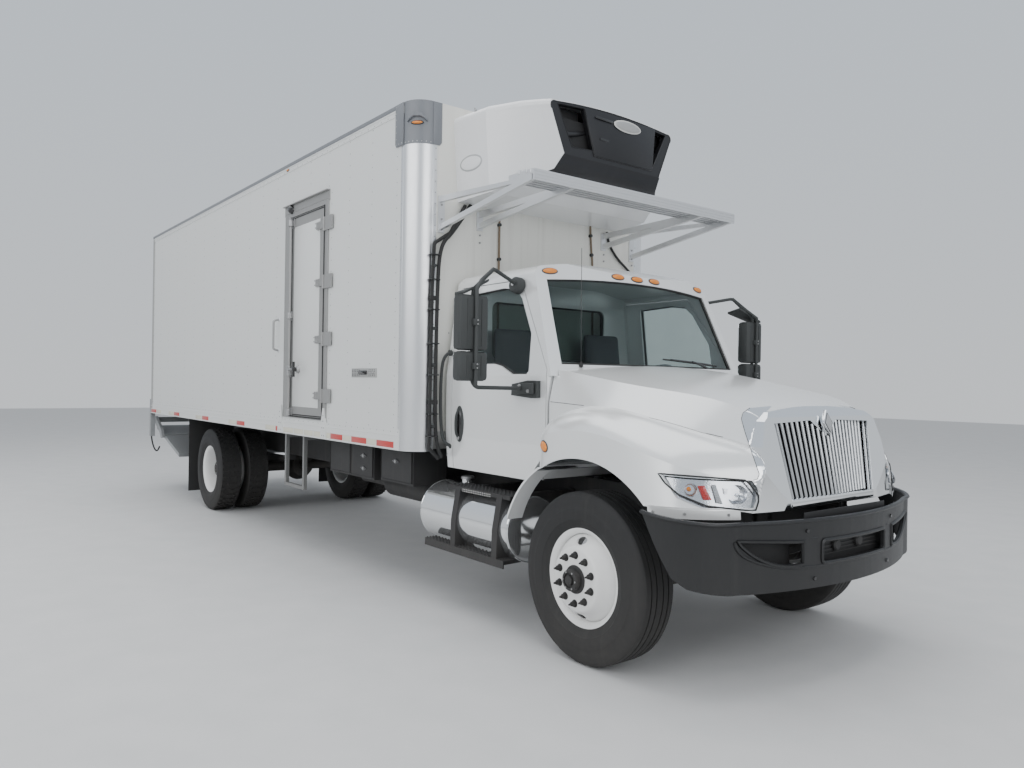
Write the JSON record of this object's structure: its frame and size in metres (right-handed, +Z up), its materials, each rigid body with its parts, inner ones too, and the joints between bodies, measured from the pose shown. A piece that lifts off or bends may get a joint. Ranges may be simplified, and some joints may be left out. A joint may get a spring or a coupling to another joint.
{
  "type": "refrigerated truck",
  "caption": "Medium-duty refrigerated truck with a conventional cab, tilting hood, insulated box, nose-mounted cooling unit, side door and tail lift.",
  "frame": {"origin": "centre of the bounding box on the ground", "axes": "+X forwards, +Y to the truck's left, +Z up"},
  "size_m": [10.747, 3.168, 3.829],
  "materials": {
    "aluminium": "satin",
    "axle_steel": "painted",
    "black_plastic": "grained",
    "cap_grey": "satin",
    "chrome": "polished",
    "engine_block": "rough",
    "fabric": "woven",
    "floor_slats": "ribbed",
    "frame_paint": "satin",
    "glass": "clear",
    "hood_paint": "gloss",
    "lamp": "clear",
    "lift_grey": "satin",
    "panel_white": "satin",
    "polished": "polished",
    "rubber": "matt",
    "trim": "grained",
    "tyres": "moulded",
    "unit_white": "gloss",
    "wheel_paint": "gloss",
    "white_paint": "gloss"
  },
  "bodies": {
    "chassis": {"air_tanks": "frame_paint", "battery_box": "frame_paint", "box_floor": "floor_slats", "box_front_wall": "panel_white", "box_roof": "panel_white", "box_wall_left": "panel_white", "box_wall_right": "panel_white", "bumper": "black_plastic", "cab_glass": "glass", "cab_shell": "white_paint", "chassis_frame": "frame_paint", "corner_caps": "cap_grey", "corner_posts": "aluminium", "dashboard": "trim", "driveshaft": "axle_steel", "engine": "engine_block", "exhaust": "axle_steel", "front_axle": "axle_steel", "fuel_tank": "polished", "hoop_step": "frame_paint", "leaf_springs": "axle_steel", "mud_flaps": "rubber", "radiator": "engine_block", "rear_axle": "axle_steel", "rear_door": "panel_white", "rear_frame": "aluminium", "seats": "fabric", "side_door_frame": "aluminium", "side_rails": "aluminium", "side_steps": "frame_paint", "tail_lift": "lift_grey", "tool_boxes": "frame_paint", "unit_core": "engine_block", "unit_front": "black_plastic", "unit_platform": "aluminium", "unit_shroud": "unit_white", "wall_hoses": "rubber"},
    "hood": {"hood": "hood_paint", "hood_frame": "frame_paint", "grille_surround": "chrome", "grille_bars": "chrome", "headlamps": "lamp"},
    "door_right": {"door_right": "white_paint", "door_glass_right": "glass", "mirror_right": "black_plastic"},
    "door_left": {"door_left": "white_paint", "door_glass_left": "glass", "mirror_left": "black_plastic"},
    "side_door": {"side_door": "panel_white"},
    "knuckle_right": {"knuckle_right": "axle_steel"},
    "knuckle_left": {"knuckle_left": "axle_steel"},
    "tie_rod": {"tie_rod": "axle_steel"},
    "wheel_front_right": {"wheel_front_right": "wheel_paint", "tyre_front_right": "tyres"},
    "wheel_front_left": {"wheel_front_left": "wheel_paint", "tyre_front_left": "tyres"},
    "wheels_rear_right": {"wheels_rear_right": "wheel_paint", "tyres_rear_right": "tyres"},
    "wheels_rear_left": {"wheels_rear_left": "wheel_paint", "tyres_rear_left": "tyres"}
  },
  "joints": [
    {"name": "steer_left", "type": "hinge", "parent": "chassis", "child": "knuckle_left", "pos_m": [4.2615, 0.84, 0.515], "axis": [0, 0, 1], "range_deg": [-40, 40]},
    {"name": "steer_right", "type": "hinge", "parent": "chassis", "child": "knuckle_right", "pos_m": [4.2615, -0.84, 0.515], "axis": [0, 0, 1], "range_deg": [-40, 40]},
    {"name": "tie_rod_swing", "type": "hinge", "parent": "knuckle_left", "child": "tie_rod", "pos_m": [4.0765, 0.84, 0], "axis": [0, 0, 1], "range_deg": [-40, 40]},
    {"name": "front_left_spin", "type": "hinge", "parent": "knuckle_left", "child": "wheel_front_left", "pos_m": [4.2615, 1.012, 0.515], "axis": [0, 1, 0], "continuous": true},
    {"name": "front_right_spin", "type": "hinge", "parent": "knuckle_right", "child": "wheel_front_right", "pos_m": [4.2615, -1.012, 0.515], "axis": [0, 1, 0], "continuous": true},
    {"name": "rear_left_spin", "type": "hinge", "parent": "chassis", "child": "wheels_rear_left", "pos_m": [-2.6485, 0.9045, 0.515], "axis": [0, 1, 0], "continuous": true},
    {"name": "rear_right_spin", "type": "hinge", "parent": "chassis", "child": "wheels_rear_right", "pos_m": [-2.6485, -0.9045, 0.515], "axis": [0, 1, 0], "continuous": true},
    {"name": "hood_tilt", "type": "hinge", "parent": "chassis", "child": "hood", "pos_m": [5.2615, 0, 0.65], "axis": [0, 1, 0], "range_deg": [0, 60]},
    {"name": "door_right_swing", "type": "hinge", "parent": "chassis", "child": "door_right", "pos_m": [3.7475, -0.998, 1.5], "axis": [0, 0, 1], "range_deg": [0, 65]},
    {"name": "door_left_swing", "type": "hinge", "parent": "chassis", "child": "door_left", "pos_m": [3.7475, 0.998, 1.5], "axis": [0, 0, -1], "range_deg": [0, 65]},
    {"name": "side_door_swing", "type": "hinge", "parent": "chassis", "child": "side_door", "pos_m": [0.9725, -1.3155, 2.295], "axis": [0, 0, 1], "range_deg": [0, 170]}
  ],
  "couplings": [
    {"joint": "steer_right", "follows": "steer_left", "ratio": 1},
    {"joint": "tie_rod_swing", "follows": "steer_left", "ratio": -1}
  ]
}
